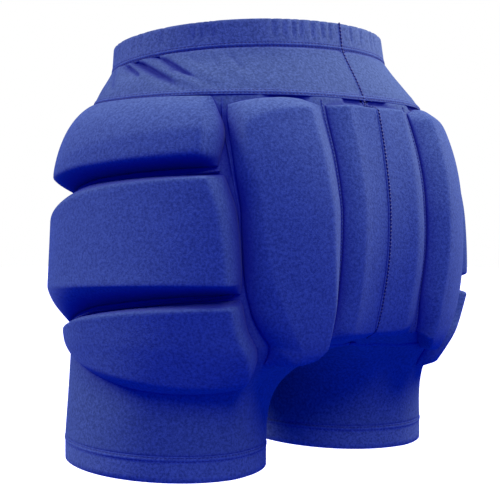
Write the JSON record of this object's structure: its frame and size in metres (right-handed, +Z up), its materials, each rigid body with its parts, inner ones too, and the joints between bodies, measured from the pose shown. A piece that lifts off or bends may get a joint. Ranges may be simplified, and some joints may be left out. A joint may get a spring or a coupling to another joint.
{
  "type": "padded hip protector shorts",
  "caption": "Stretch shorts with foam hip, seat and tailbone pads, shaped as worn and open at the waist and legs.",
  "frame": {"origin": "middle of the waistband, where the shorts grip the waist", "axes": "+Z up, +X to the wearer's left, +Y to the wearer's back"},
  "size_m": [0.388, 0.2704, 0.367],
  "materials": {
    "shell_cloth": "matt stretch knit",
    "band_cloth": "matt stretch knit, folded double",
    "pad_cloth": "brushed stretch knit over foam"
  },
  "bodies": {
    "root": {"waistband": "band_cloth", "yoke_left": "shell_cloth", "yoke_right": "shell_cloth", "body_left": "shell_cloth", "body_right": "shell_cloth", "hem_left": "band_cloth", "hem_right": "band_cloth", "hip_pad_upper_left": "pad_cloth", "hip_pad_upper_right": "pad_cloth", "hip_pad_middle_left": "pad_cloth", "hip_pad_middle_right": "pad_cloth", "hip_pad_lower_left": "pad_cloth", "hip_pad_lower_right": "pad_cloth", "seat_pad_left": "pad_cloth", "seat_pad_right": "pad_cloth", "tailbone_pad_left": "pad_cloth", "tailbone_pad_right": "pad_cloth"}
  },
  "joints": []
}
